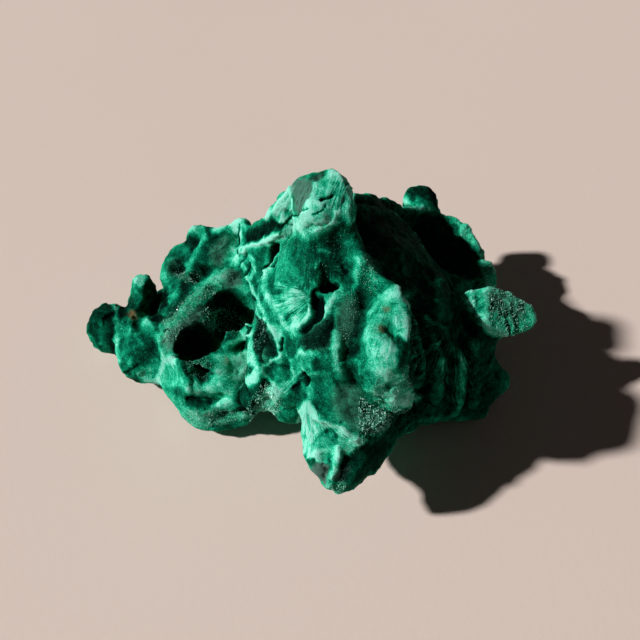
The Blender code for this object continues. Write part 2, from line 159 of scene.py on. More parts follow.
# Patches: tone, strength, softness in px, outline. Later ones lie over earlier ones.
PATCHES = dict(
    # the right side, which the key light leaves in shade, painted darker: painted shade
    shade_side=(0.2, 0.9, 10, "354,190 400,198 452,230 480,270 470,300 480,330 494,350 500,392 494,414 440,416 "
        "404,440 388,440 390,410 404,396 406,345 408,308 400,292 380,286 378,262 356,240"),
    # the tail and the wing
    tail=(0.1, 1, 3, "86,312 102,290 118,296 116,312 115,330 118,358 104,360 96,340 88,330"),
    tail_glow=(0.4, 0.9, 3, "98,322 106,322 108,336 102,342 97,334"),
    tail_foot=(0.56, 0.9, 2, "100,338 106,342 110,352 112,359 104,358 100,348"),
    wing=(0.36, 1, 3, "118,300 130,296 146,300 150,318 166,342 168,352 158,372 146,386 134,388 122,376 116,350 "
        "118,330"),
    wing_top=(0.28, 0.9, 3, "128,300 146,304 146,318 138,324 132,312"),
    wing_dark=(0.1, 0.9, 2, "117,306 123,304 126,312 122,318 117,317"),
    wing_dark_low=(0.25, 0.7, 2, "126,318 138,316 140,324 128,326"),
    wing_left=(0.66, 0.8, 2, "118,322 124,324 132,330 126,336 119,334"),
    wing_core=(0.22, 1, 6, "140,342 152,338 156,350 152,362 142,358"),
    wing_low=(0.48, 0.8, 3, "120,350 130,352 134,364 126,374 119,362"),
    wing_teal=(0.72, 0.8, 2, "151,360 158,356 158,370 151,368"),
    wing_blob=(0.85, 0.8, 1.5, "112,338 118,334 121,342 118,350 114,344"),
    wing_foot=(0.86, 0.9, 2, "139,370 146,366 152,368 152,386 144,389 139,384"),
    wing_foot_dark=(0.14, 0.9, 1.5, "133,380 139,378 143,384 140,389 135,388"),
    horn=(0.44, 1, 2, "132,302 132,284 134,272 144,272 152,282 153,296 146,304"),
    horn_mint=(0.8, 0.9, 2.5, "133,271 142,270 147,280 141,286 134,282"),
    # the horn's right side and the gap beside it are painted dark: painted shade and painted shadow
    horn_dark=(0.08, 0.9, 2, "142,290 150,276 156,290 152,306 144,300"),
    horn_gap=(0.02, 1, 2, "153,286 160,290 168,288 167,306 164,321 153,321 151,304"),
    facet=(0.76, 1, 2, "163,366 177,364 183,374 186,384 172,389 160,386"),
    facet_white=(1.04, 1, 2.5, "166,352 172,356 178,364 168,366 162,374 160,388 152,388 154,378 160,364"),
    # the left lobe
    lobe=(0.43, 1, 4, "156,262 164,250 178,236 188,218 206,218 212,228 236,216 242,226 240,262 246,286 236,290 "
        "214,292 190,312 170,330 160,330 166,308 172,294 162,276"),
    knob_top=(0.72, 0.9, 3, "188,230 195,218 206,218 208,230 200,236"),
    knob_shade=(0.06, 1, 1.5, "207,226 216,228 213,234 206,232"),
    lobe_valley=(0.08, 0.9, 3, "181,240 190,236 199,240 198,252 193,258 188,248"),
    lobe_pale=(0.64, 0.6, 2.5, "180,246 188,246 188,253 181,253"),
    lobe_pit=(0.18, 0.8, 5, "169,264 184,258 186,268 182,276 170,274"),
    lobe_pit_low=(0.04, 1, 1.5, "181,281 197,278 192,286 185,292 180,287"),
    lobe_dark=(0.1, 0.8, 5, "194,262 206,262 214,268 206,274 194,272"),
    lobe_mid=(0.18, 0.8, 4, "205,240 216,234 216,250 208,260 200,258"),
    lobe_grey=(0.5, 0.9, 4, "214,248 228,234 228,250 222,264 212,262"),
    lobe_side=(0.24, 0.9, 4, "172,300 186,288 196,284 188,300 176,316 167,318"),
    lobe_under=(0.32, 0.9, 2.5, "226,270 238,270 242,287 226,285"),
    lobe_druse=(0.92, 0.9, 3, "216,274 226,268 228,280 218,285 210,282"),
    lobe_eye=(0.02, 1, 1.2, "227,262 235,260 236,266 230,268 227,267"),
    cavity_brow=(0.22, 1, 3, "162,340 176,326 190,312 202,304 206,312 198,330 184,346 170,352"),
    # the great cavity painted near black: painted shade in the hollow
    great_cavity=(0.05, 0.9, 3, "206,302 222,290 240,290 248,306 250,332 236,338 222,354 186,357 174,350 196,330"),
    # the cup painted bright, partly its own green and partly a painted highlight for sunlight that the form here
    # doesn't catch
    cup=(0.8, 1, 3, "230,350 240,338 256,336 260,360 260,376 250,385 236,385 228,372"),
    cup_shade=(0.28, 0.9, 2, "234,343 244,338 256,338 254,346 244,350 236,357 232,350"),
    cup_light=(0.96, 1, 4, "236,358 243,352 248,360 246,378 240,386 232,378 232,366"),
    cup_spot=(0.1, 0.9, 1.5, "249,368 254,366 256,373 250,375"),
    cup_left=(0.68, 0.9, 4, "214,356 230,352 232,372 222,382 216,370"),
    bowl=(0.26, 1, 3, "182,358 206,356 216,362 208,376 198,385 188,378"),
    bowl_low=(0.7, 0.8, 3, "210,386 220,382 228,390 222,398 210,396"),
    lobe_low=(0.6, 1, 3, "158,388 172,386 186,394 192,408 184,416 170,404"),
    lobe_low_dark=(0.24, 0.8, 2, "174,389 182,388 183,396 177,397"),
    crescent=(0.18, 1, 2.5, "184,400 200,398 214,401 210,408 196,411 186,407"),
    foot_dark=(0.4, 0.8, 2, "204,414 216,410 226,410 222,417 208,418"),
    # under the lobe painted near black: painted shadow
    under_lobe=(0.02, 1, 2, "232,402 244,388 256,382 270,377 273,386 262,400 258,414 246,414 238,409"),
    fringe=(0.96, 1, 2, "266,388 276,384 281,392 274,404 262,411 262,400"),
    fringe_low=(0.58, 0.9, 2, "256,410 268,404 272,412 264,422 256,422"),
    # the channel and the nodules
    # the channel between the lobe and the main mass painted near black: painted shade
    channel=(0.06, 1, 2, "250,286 256,300 258,316 266,322 270,336 276,350 275,358 266,362 261,346 257,330 256,316 "
        "252,300"),
    channel_low=(0.26, 0.9, 3, "262,352 270,356 268,374 264,381 261,364"),
    nodule_a=(0.42, 1, 2, "285,332 297,330 301,342 300,354 292,360 285,352"),
    nodule_pale=(0.7, 0.9, 2, "290,360 300,358 301,372 293,373"),
    disc=(0.5, 1, 2, "272,362 282,357 288,364 284,380 274,382 268,370"),
    nodule_c=(0.56, 1, 2, "302,354 314,352 318,360 314,370 306,372 302,362"),
    nodule_c_dark=(0.08, 0.9, 1.5, "312,360 319,358 321,368 316,372 312,368"),
    streaked=(0.82, 1, 2, "279,392 281,382 290,374 297,376 291,386 287,396 281,399"),
    streaked_white=(0.96, 0.9, 1.5, "284,388 287,380 294,378 291,386 286,391"),
    streaked_dark=(0.38, 0.9, 2, "292,387 302,379 308,384 306,400 294,404 288,400"),
    # the ridge to the summit
    strip=(0.44, 0.9, 3, "243,218 256,212 270,219 266,227 246,232"),
    strip_dark=(0.1, 1, 2.5, "243,233 256,227 272,221 284,222 276,232 262,238 246,243"),
    under_brow=(0.4, 0.9, 2.5, "254,250 270,246 271,256 262,267 256,270"),
    arete_green=(0.55, 0.9, 2, "260,213 276,198 290,188 285,200 272,211 266,214"),
    plate_mint=(0.98, 1, 2, "275,217 284,203 293,195 295,210 287,222 278,223"),
    plate_green=(0.76, 0.8, 1.5, "283,214 290,206 291,212 286,220"),
    summit=(0.72, 1, 3, "311,184 330,178 346,176 354,198 352,224 336,214 310,216"),
    summit_grey=(0.52, 1, 2, "291,186 300,176 311,181 312,195 306,208 298,215 294,200"),
    summit_brow=(0.24, 0.9, 2, "309,178 322,170 331,169 322,180 312,182"),
    summit_mint=(0.9, 1, 1.5, "323,178 334,168 342,169 346,177 334,180 328,182"),
    summit_side=(0.5, 0.8, 3, "348,204 356,206 354,222 346,228"),
    # the velvet face
    slope=(0.37, 1, 6, "280,242 300,236 325,232 345,224 354,240 354,256 340,256 322,262 320,285 312,292 300,284 "
        "292,266 286,256"),
    slope_low=(0.3, 0.8, 5, "300,262 316,258 320,272 316,290 304,282"),
    slope_dark=(0.2, 0.8, 5, "331,228 340,226 343,240 338,251 330,244"),
    slope_knob=(0.52, 0.8, 3, "343,236 352,238 353,249 344,249"),
    slope_side=(0.33, 0.9, 5, "340,227 352,224 357,236 366,250 352,256 342,242"),
    face_left=(0.56, 1, 5, "275,244 284,240 290,256 296,270 303,284 298,293 284,295 272,288 268,276 272,266"),
    # the palest velvet, partly its own mint and partly a painted sheen highlight
    velvet_white=(1.00, 1, 5, "278,239 286,224 296,215 309,212 310,224 300,234 288,239"),
    velvet_band=(0.94, 1, 7, "309,222 322,217 337,213 338,222 328,230 312,234 302,236"),
    dimple=(0.26, 0.95, 6, "320,262 328,254 338,254 347,262 345,276 334,286 322,280"),
    slope_foot=(0.3, 0.8, 3, "322,284 334,274 348,276 350,288 338,286"),
    bump=(0.42, 1, 4, "350,256 366,253 375,264 379,284 372,294 358,292 348,288"),
    bump_top=(0.6, 0.8, 2.5, "362,257 371,257 376,270 376,284 370,280 368,266"),
    fan_mint=(0.88, 0.9, 5, "281,293 299,289 306,297 303,306 294,312 284,311"),
    fan_wedge=(0.55, 0.9, 1.5, "283,317 291,310 296,314 292,325 287,326"),
    between_lips=(0.52, 0.9, 2, "262,300 268,300 276,312 280,326 274,328 266,314"),
    lips_meet=(0.86, 1, 4, "268,325 280,325 285,336 281,349 275,340"),
    white_nub=(0.94, 1, 2.5, "292,322 298,314 305,312 306,320 299,329 293,331"),
    # the central fold and the boss
    crack_shade=(0.05, 1, 3, "303,334 318,324 330,316 334,330 330,346 316,350 303,348"),
    face_grey=(0.5, 1, 4, "338,300 356,292 358,320 352,345 342,352 337,330"),
    face_low=(0.38, 0.9, 4, "320,350 332,346 334,372 322,374"),
    face_right=(0.4, 0.9, 4, "342,348 360,345 364,380 352,386 344,372"),
    boss=(0.76, 1, 4, "380,314 398,308 405,322 403,340 396,360 388,368 380,350 376,330"),
    # the boss foot painted bright, partly its own mint and partly a painted highlight for sunlight the form doesn't
    # catch
    boss_foot=(0.96, 0.95, 6, "372,364 390,367 398,376 402,388 390,391 376,382"),
    boss_pit=(0.14, 0.9, 1.5, "379,328 384,327 385,333 380,335"),
    # the boss's right side painted dark: painted shade
    boss_side=(0.08, 1, 2, "394,343 404,342 403,360 397,366 395,354"),
    apron_left=(0.49, 1, 3, "310,374 332,372 334,416 326,417 318,406 312,398"),
    apron_right=(0.56, 1, 4, "335,385 356,384 362,400 364,431 352,431 337,420"),
    apron_druse=(0.46, 1, 4, "358,398 368,402 388,412 388,426 376,436 362,432"),
    apron_mint=(0.76, 1, 3, "368,388 396,388 420,394 416,402 396,404 388,412 378,404"),
    # the front spike
    spike_white=(0.93, 1, 2, "299,414 305,403 312,405 322,418 338,424 352,431 341,440 334,431 322,430 314,442 311,454 "
        "302,452 298,430"),
    spike_hollow=(0.72, 1, 2, "313,447 321,435 334,431 337,440 330,447 318,450"),
    spike_ledge=(0.88, 1, 2, "307,457 316,450 330,448 341,443 339,453 328,457 326,465 318,463 310,461"),
    spike_mint=(0.8, 1, 2, "338,437 352,431 368,438 358,447 350,455 342,451"),
    spike_notch=(0.22, 0.9, 1.5, "308,458 315,458 315,466 310,466"),
    spike_shade=(0.2, 1, 3, "341,460 352,452 370,441 388,440 386,458 366,476 346,490 339,484"),
    spike_tip=(0.58, 0.8, 2, "330,482 346,482 344,492 332,492"),
    # the back and the ear
    # the back knob painted near black: painted shade
    back_knob=(0.02, 1, 3, "398,186 408,178 440,178 444,192 442,205 424,205 410,196"),
    back_knob_low=(0.4, 0.9, 2.5, "404,193 416,196 428,202 420,207 404,200"),
    side_knob=(0.54, 1, 2, "478,246 490,246 500,262 498,279 484,281 480,262"),
    ear_smooth=(0.68, 1, 2, "457,284 470,279 487,279 487,296 485,317 474,315 463,300"),
    ear_rough=(0.62, 1, 2, "488,286 514,285 532,299 540,314 532,328 514,340 496,336 484,320 487,300"),
    ear_dark=(0.2, 0.9, 2.5, "489,298 500,298 503,308 494,312 488,308"),
    ear_light=(0.58, 0.8, 3, "503,314 514,308 526,312 520,328 506,328"),
)

# Bands: half width in px, tone, strength, lift in mm, and the points that they run through.
BANDS = dict(
    wing_ridge=(2.2, 0.86, 0.9, 0.12, "113,300 115,310 117,324 116,334 118,347 119,360"),
    wing_vein=(1.4, 0.68, 0.7, 0.05, "122,338 131,333 138,338 143,348"),
    wing_vein_low=(1.4, 0.66, 0.6, 0.05, "119,353 128,351 136,347"),
    wing_edge=(5.5, 0.76, 0.95, 0.1, "142,318 150,328 158,336 166,345 167,352"),
    facet_edge=(1.6, 0.92, 0.8, 0.09, "173,356 178,363 183,371 188,382"),
    lobe_left_rim=(4, 0.72, 0.8, 0.1, "159,262 163,275 169,287 174,296 171,302"),
    lobe_vein=(2.6, 0.74, 0.8, 0.09, "207,234 202,243 197,252 191,261 189,270"),
    lobe_crest=(4.5, 0.98, 0.9, 0.12, "216,229 228,222 240,217"),
    lobe_light=(6, 1.05, 1, 0.1, "236,222 238,236 235,250 232,262"),
    lobe_green=(3, 0.72, 0.8, 0.06, "198,288 206,282 214,280"),
    crystal_band=(4.6, 0.74, 0.8, 0.04, "216,276 205,286 196,298 186,310 175,322 163,334"),
    cavity_rim=(5.5, 0.74, 0.9, 0.12, "241,288 247,300 251,314 253,330"),
    cup_rim=(3, 0.86, 0.95, 0.12, "250,330 256,334 258,346 261,360 261,372 256,382"),
    cup_brow=(2.2, 0.8, 0.9, 0.15, "226,348 234,340 242,336 254,334"),
    bowl_edge=(3.2, 0.12, 0.8, -0.12, "178,357 185,370 191,384"),
    bowl_rim=(6.5, 0.84, 0.9, 0.18, "194,387 201,392 209,389 217,381 222,370 220,360"),
    bowl_rim_low=(6, 0.84, 0.85, 0.15, "226,397 231,387 236,378"),
    low_edge=(3, 0.78, 0.8, 0.06, "160,391 168,399 178,409 188,419"),
    lobe_foot=(5, 0.82, 0.9, 0.18, "188,412 200,416 212,410 222,404 232,402"),
    lobe_fringe=(3.5, 0.76, 0.9, 0.12, "192,421 204,425 216,423 226,419 233,414 244,414"),
    ring_top=(3.4, 0.72, 0.8, 0.12, "248,246 244,251 243,258"),
    ring_left=(1.8, 0.72, 0.9, 0.12, "243,258 244,267 248,277"),
    ring_right=(1.7, 0.82, 0.9, 0.15, "250,256 254,262 255,271 251,279"),
    long_lip=(1.7, 0.95, 0.95, 0.15, "248,280 254,292 260,304 266,318 271,330 277,344 281,356"),
    lens_loop=(1.4, 0.93, 0.9, 0.12, "256,303 257,309 260,316 266,319"),
    fold_lip=(3.4, 0.8, 0.95, 0.15, "268,268 264,279 265,290 270,298"),
    fold_lip_low=(3.6, 1.00, 0.95, 0.15, "270,298 277,306 282,316 286,325 294,333"),
    slit_brow=(3.6, 1.00, 0.95, 0.18, "279,233 270,240 258,246 246,250"),
    slit_lip=(1.6, 0.86, 0.9, 0.09, "277,262 271,267 264,270"),
    arete=(3.8, 1.00, 1, 0.15, "292,190 285,200 277,208 268,217"),
    arete_foot=(2.8, 0.95, 0.9, 0.09, "250,209 258,212 266,216"),
    summit_streak=(2.2, 0.94, 0.9, 0.1, "316,186 312,197 309,207 306,214"),
    summit_streak_top=(2.2, 0.84, 0.8, 0.06, "314,184 322,188"),
    summit_glint=(1.8, 0.9, 0.9, 0.09, "327,191 331,184 334,181"),
    slope_nub=(3, 0.84, 0.9, 0.15, "321,250 328,252"),
    slope_streak=(1.5, 0.76, 0.8, 0.06, "318,261 316,268"),
    bump_glow=(3.2, 0.68, 0.9, 0.1, "357,260 358,270 357,280 352,287"),
    nub_line=(1.2, 0.92, 0.9, 0.09, "309,305 309,315"),
    nub_line_far=(0.9, 0.78, 0.8, 0.06, "313,298 312,312"),
    crack_lip=(4.2, 0.8, 0.9, 0.12, "341,290 335,298 330,306 324,315"),
    face_line=(1.4, 0.62, 0.8, 0.06, "336,308 336,336"),
    face_stroke=(4.5, 0.76, 0.85, 0.12, "336,337 336,350 337,362 340,373"),
    face_stroke_low=(3.5, 0.62, 0.7, 0.08, "340,373 345,385"),
    # a sunk groove painted dark: painted shade
    fold_groove=(4, 0.17, 0.8, -0.12, "361,296 358,312 356,330 352,350"),
    rim_c=(8, 0.82, 0.85, 0.05, "403,298 392,297 383,301 375,311 371,325 370,342 373,358 381,371 391,380"),
    boss_edge=(1.3, 0.95, 0.95, 0.06, "402,299 405,305 407,309"),
    boss_edge_low=(1.4, 0.82, 0.8, 0.06, "403,320 405,331 403,342"),
    boss_wart=(2.8, 0.86, 0.9, 0.18, "393,321 397,328"),
    boss_wart_low=(2.4, 0.74, 0.8, 0.12, "387,344 386,350"),
    nodule_foot=(1.6, 0.86, 0.9, 0.09, "283,347 286,356 293,359 299,354 302,347"),
    disc_outline=(1.4, 0.93, 0.95, 0.09, "281,357 272,361 267,370 270,378 275,383"),
    nodule_c_top=(2.2, 0.92, 0.95, 0.09, "303,352 315,353"),
    nodule_c_foot=(1.5, 0.7, 0.8, 0.06, "301,362 304,369 310,374 318,373"),
    nodule_line=(1.3, 0.72, 0.8, 0.06, "291,383 296,377 303,371"),
    apron_light=(3.2, 0.8, 0.9, 0.09, "311,387 311,398 308,407"),
    spike_ledge_edge=(2, 0.94, 0.8, 0.12, "309,456 318,453 328,450 338,445"),
    spike_left_edge=(2.6, 0.64, 0.8, 0.06, "301,452 305,461 312,470 320,480 329,489"),
    spike_rib=(3, 0.68, 0.9, 0.21, "339,452 337,464 332,474 328,485"),
    spike_nub=(2, 0.96, 0.95, 0.09, "333,459 338,456"),
    rim_far_left=(3.4, 0.8, 0.9, 0.09, "380,194 398,197 412,206 430,206"),
    back_rim_a=(4, 0.48, 0.8, 0.6, "441,207 456,215 467,227"),
    back_rim_b=(3.6, 0.48, 0.8, 0.6, "464,232 474,239 481,249"),
    side_knob_top=(3, 0.86, 0.9, 0.12, "479,248 484,252 482,258"),
    side_knob_edge=(2.2, 0.82, 0.8, 0.09, "492,256 495,262 495,272"),
    ear_border=(2, 0.86, 0.9, 0.12, "484,296 487,305 485,316"),
    ear_foot=(3.5, 0.74, 0.8, 0.45, "484,322 491,330 500,334 511,337"),
    ear_top=(3.5, 0.62, 0.7, 0.5, "488,287 500,289 512,288"),
    ear_spot=(2.4, 0.95, 0.9, 0.09, "519,296 524,300"),
    ear_spot_low=(2, 0.82, 0.8, 0.06, "521,315 522,320"),
    soft_ridge=(5, 0.3, 0.5, 0.15, "398,236 415,250 432,262 452,276"),
    pale_nub=(5, 0.52, 0.7, 0.15, "474,347 482,343"),
    plate_edge_a=(1.6, 0.48, 0.7, 0.15, "424,316 434,323 446,328"),
    plate_edge_b=(1.6, 0.48, 0.7, 0.15, "410,359 422,352 438,342"),
    plate_edge_c=(4, 0.54, 0.8, 0.18, "441,362 446,374 452,386 456,396"),
    plate_edge_d=(3.5, 0.5, 0.8, 0.18, "463,355 463,372 463,392"),
    ledge_line=(1.6, 0.48, 0.7, 0.12, "405,428 420,420 445,418 458,411 462,400"),
    ledge_light=(2.6, 0.56, 0.7, 0.09, "404,388 412,386 422,384"),
)

# Folds: the skin climbs to a crest from the left of its path, drawn down, and drops on the right.
# Reach of the climb and of the drop in px, height in mm, points.
FOLDS = dict(
    facet_edge=(12, 2.5, 0.5, "168,350 180,361 187,374 190,384"),
    crystal_band=(10, 5, 0.2, "228,274 207,287 196,297 186,307 176,317 164,327"),
    cup_tilt=(44, 10, 1.2, "257,336 263,350 265,372 258,394"),
    slit_brow=(8, 3, 0.4, "278,234 272,239 262,244 252,247 243,252"),
    plate_a=(6, 3, 0.3, "290,190 285,197 276,208 269,219"),
    bump=(9, 8, 0.35, "362,257 361,268 359,280 356,288"),
    face_stroke=(9, 8, 0.25, "337,336 337,350 338,362 341,373 345,383"),
    rim_c=(14, 12, 0.2, "392,297 383,302 376,312 372,325 372,342 376,357 384,369"),
    velvet_edge=(26, 40, 0.3, "312,208 307,222 301,238"),
    boss_edge=(30, 6, 0.9, "400,300 405,316 405,338 403,356 403,376 408,396"),
    spike_crest=(10, 3, 0.4, "311,404 320,415 332,422 345,430 356,436 367,438"),
    spike_rib=(6, 5, 0.5, "339,450 338,460 334,470 330,482"),
    wing_fold=(16, 5, 0.5, "152,324 160,338 166,350"),
    apron_fold=(18, 10, 0.4, "334,385 336,400 338,414"),
    summit_edge=(10, 5, 0.4, "345,178 353,198 352,220"),
)

# Patches whose skin is smoother than the rest.
CALM_PATCHES = ("slope", "face_left", "summit_grey", "apron_left", "apron_right", "boss", "facet",
                "facet_white", "spike_hollow", "spike_shade", "great_cavity", "under_lobe", "channel")

# Black openings, sunk and painted black as painted shade: depth in mm, softness in px, outline.
GAPS = dict(
    face_slit=(1.2, 1.2, "276,243 272,246 268,254 269,262 262,268 272,266 277,262 277,254 279,245"),
    face_crack=(1.2, 1.2, "301,328 303,333 311,326 321,319 324,310 323,293 331,291 339,287 336,284 322,287 313,291 "
        "310,300 311,312 307,320"),
)

# Cracks, sunk and painted dark as painted shade: half width in px, depth in mm, points.
CRACKS = dict(
    wing_notch=(1, 0.2, "126,372 132,369 139,364"),
    lobe_seam=(0.7, 0.1, "240,226 239,242 238,256"),
    lobe_slit=(0.9, 0.2, "165,331 172,329"),
    ring_slit=(1.5, 0.5, "250,263 248,269 246,275"),
    summit_crack=(1.2, 0.4, "321,201 327,199 333,196"),
    summit_crack_low=(0.8, 0.2, "312,215 319,211 325,206"),
    summit_foot=(0.8, 0.2, "291,218 299,214 309,210"),
    slope_edge=(0.9, 0.2, "279,232 285,223 293,215"),
    nodule_pit=(2.6, 0.7, "304,374 306,382"),
    nodule_gap=(1.6, 0.4, "282,339 281,350"),
    nodule_stripes=(1.3, 0.3, "292,388 300,381"),
    ear_crack=(1, 0.3, "506,322 509,330 511,337"),
    shoulder_pits=(2, 0.4, "341,266 346,272"),
)

# Where the green gives way to grey-green: strength, softness in px, outline.
GREY_PATCHES = dict(
    tail_spot=(0.7, 1.5, "93,302 99,301 100,308 94,309"),
    lobe_grey=(0.5, 4, "213,246 226,236 229,246 222,264 212,262"),
    lobe_pit=(0.3, 4, "168,264 178,260 182,274 170,276"),
    lobe_under=(0.6, 2.5, "224,270 238,272 241,287 224,285"),
    cavity_brow=(0.6, 3, "164,338 180,324 200,307 206,310 196,326 180,342 170,350"),
    channel=(0.15, 2, "252,296 258,316 266,322 274,346 266,360 258,330"),
    summit_grey=(0.8, 2, "292,184 300,178 311,182 311,195 304,210 298,214 295,198"),
    summit_brow=(0.6, 2, "311,178 322,173 322,181 312,182"),
    face_grey=(0.45, 5, "340,305 358,300 356,325 346,345 338,335"),
    crack_shade=(0.2, 4, "304,334 318,324 330,318 332,344 316,350 304,348"),
    apron_grey=(0.4, 4, "336,385 360,390 362,430 345,422 335,413"),
    apron_druse=(0.5, 3, "359,398 368,404 386,414 384,428 370,434 360,428"),
    spike_facet=(1.00, 1.2, "312,466 319,463 328,465 329,475 327,484 319,479 312,472"),
    spike_facet_low=(0.8, 1.2, "338,468 350,465 346,475 341,481 334,477"),
    ear_grey=(0.45, 4, "488,288 512,288 528,304 520,318 502,314 490,308"),
    ear_top=(0.4, 2, "498,286 514,286 522,292 512,296 500,293"),
)

# Iron stains: strength, softness in px, outline.
STAINS = dict(
    tail_stain=(0.6, 1.5, "114,295 121,294 122,303 116,305"),
    wing_stain=(0.6, 1.5, "129,313 134,311 138,317 134,320 130,318"),
    boss_stain=(0.45, 1.8, "383,308 389,308 389,313 384,313"),
    boss_stain_low=(0.35, 1.8, "378,327 383,326 383,332 379,333"),
    cup_stain=(0.5, 1.2, "223,358 227,358 227,363 223,363"),
    knob_stain=(0.5, 1.5, "486,251 490,251 490,255 487,255"),
)

# Fibre: strength, softness in px, the point that the fibres run from, and the outline that they show in.
FANS = dict(
    spike=(1, 2, (308, 396), "298,410 312,404 325,418 352,432 335,442 322,434 312,449 309,459 300,448"),
    summit=(0.9, 3, (352, 150), "325,180 345,180 354,200 352,222 340,230 330,214"),
    summit_left=(0.8, 3, (318, 150), "293,190 311,184 318,190 308,214 298,214"),
    arete=(0.8, 3, (325, 130), "262,216 288,190 294,196 293,212 283,222 270,222"),
    mint_fan=(1, 6, (316, 294), "272,284 290,278 308,288 310,300 306,318 294,330 282,322 276,304"),
    dimple=(0.9, 4, (331, 268), "318,258 330,250 345,256 348,275 336,290 318,288"),
    nodule=(0.9, 3, (255, 420), "277,394 282,378 292,374 304,374 300,390 288,396"),
    face=(0.5, 6, (326, 120), "292,240 320,236 318,290 302,288"),
    plates=(1, 4, (452, 322), "408,300 440,318 470,345 470,398 450,402 412,370"),
    ear=(0.7, 3, (440, 330), "462,290 484,280 487,300 485,320 468,314"),
    ear_rough=(0.7, 4, (500, 240), "488,288 514,288 534,310 518,335 500,338 488,318"),
    fringe=(0.8, 3, (290, 370), "246,418 262,388 276,388 276,420 256,420"),
    boss=(0.5, 3, (392, 290), "366,312 384,300 404,300 402,350 384,366 370,350"),
    facet=(0.4, 3, (175, 330), "150,388 166,354 180,366 188,382 168,390"),
)

# Druse of small crystals: share of the skin covered, softness in px, outline.
DRUSES = dict(
    apron=(1, 4, "360,396 370,404 390,412 388,428 372,436 360,430 357,412"),
    apron_mint=(0.4, 3, "374,390 398,388 420,392 416,404 395,412 380,410"),
    apron_side=(0.6, 3, "398,366 408,366 406,384 398,384"),
    crystal_band=(0.8, 4, "164,322 190,296 226,272 228,282 204,302 186,322 170,346"),
    lobe_specks=(0.5, 3, "174,272 196,270 200,282 178,280"),
    lobe_foot=(0.6, 3, "186,412 246,408 244,418 212,427 190,420"),
    fringe=(0.9, 3, "246,420 262,386 278,384 276,418"),
    cavity_floor=(0.5, 3, "200,312 212,306 246,312 244,334 226,334 206,330"),
    boss_foot=(0.15, 5, "378,372 398,378 396,396 376,392"),
    channel=(0.25, 2, "256,318 264,322 268,345 262,350"),
    face=(0.25, 6, "338,300 358,292 356,325 346,350 336,340"),
    slope=(0.08, 8, "285,242 340,230 350,250 330,270 318,290 296,280"),
    spike=(0.5, 3, "338,432 352,434 366,438 352,452 340,450"),
    spike_tip=(0.7, 2, "330,482 346,482 344,491 334,491"),
    velvet=(0.35, 4, "277,239 285,226 293,218 308,213 309,222 299,235"),
    bump=(0.4, 4, "362,258 372,258 378,280 372,292 362,285"),
    cup=(0.4, 3, "240,352 252,350 256,368 248,376 242,366"),
    bowl=(0.4, 3, "186,358 210,356 214,364 204,380 190,374"),
    back_rim=(0.5, 3, "440,202 462,214 482,240 474,246 456,222 440,212"),
    side_knob=(0.5, 3, "478,246 490,246 498,262 496,276 484,276"),
    ear=(0.4, 3, "488,288 516,288 534,312 516,336 498,336 488,316"),
)


def hashed(cells, seed):
    """A number from 0 to 1 for each row of whole numbers."""
    mixed = cells[:, 0] * 73856093 ^ cells[:, 1] * 19349663 ^ cells[:, 2] * 83492791 ^ seed * 40503
    mixed = (mixed & 0xFFFFFFFF) * 2246822519 & 0xFFFFFFFF
    mixed = (mixed ^ mixed >> 15) * 3266489917 & 0xFFFFFFFF
    return (mixed ^ mixed >> 16) / 0xFFFFFFFF


def hashed_threes(cells, seed):
    """Three numbers from 0 to 1 for each row of whole numbers."""
    return np.stack([hashed(cells, seed + axis) for axis in range(3)], axis=1)


def noise(points, size, seed=0):
    """Smooth noise from -1 to 1, with features of the given size."""
    scaled = points / size
    corner = np.floor(scaled).astype(np.int64)
    part = scaled - corner
    part = part * part * (3 - 2 * part)
    total = np.zeros(len(points))
    for step in np.ndindex(2, 2, 2):
        weight = np.prod(np.where(step, part, 1 - part), axis=1)
        total += weight * hashed(corner + step, seed)
    return total * 2 - 1


def rough_noise(points, size, octaves, seed=0):
    """Noise with finer and weaker noise on it."""
    total = np.zeros(len(points))
    for octave in range(octaves):
        total += noise(points, size / 2**octave, seed + octave) / 2**octave
    return total


def nearest_cells(points, size, seed=0):
    """The nearest seed point of a jittered lattice, and how far it is."""
    corner = np.floor(points / size).astype(np.int64)
    best = np.full(len(points), np.inf)
    where = np.zeros_like(points)
    for step in np.ndindex(3, 3, 3):
        cell = corner + np.array(step) - 1
        place = (cell + hashed_threes(cell, seed)) * size
        away = np.linalg.norm(points - place, axis=1)
        closer = away < best
        best[closer] = away[closer]
        where[closer] = place[closer]
    return where, best


def ease(values, low, high):
    """0 below low, 1 above high and a smooth step between."""
    part = np.clip((values - low) / (high - low), 0, 1)
    return part * part * (3 - 2 * part)


def dots(first, second):
    """The dot product of each pair of rows."""
    return np.einsum("ij,ij->i", first, second)


def units(vectors):
    """Rows as vectors of length 1."""
    return vectors / np.linalg.norm(vectors, axis=1)[:, None]


def to_frame(points):
    """Where the camera sees points given in millimetres, in px across and down."""
    from_eye = points - EYE
    scale = FOCAL_PX / (from_eye @ AHEAD)
    return np.stack([FRAME_PX / 2 + scale * from_eye[:, 0], FRAME_PX / 2 - scale * (from_eye @ UPWARD)], axis=1)


def read_points(text):
    """The points of a mark, from x,y pairs with spaces between them."""
    return np.array([pair.split(",") for pair in text.split()], float)


def curved(points, closed=False):
    """A smooth curve through points, as a row of closer points. A closed one ends where it starts."""
    before, after = (points[-1:], points[:2]) if closed else (points[:1], points[-1:])
    knots = np.concatenate([before, points, after])
    part = np.arange(CURVE_STEPS)[:, None] / CURVE_STEPS
    curve = []
    for before, start, end, after in zip(knots, knots[1:], knots[2:], knots[3:]):
        cube = 3 * (start - end) + after - before
        square = 2 * before - 5 * start + 4 * end - after
        curve.append(start + 0.5 * part * (end - before + part * (square + part * cube)))
    curve.append(knots[-2:-1])
    return np.concatenate(curve)


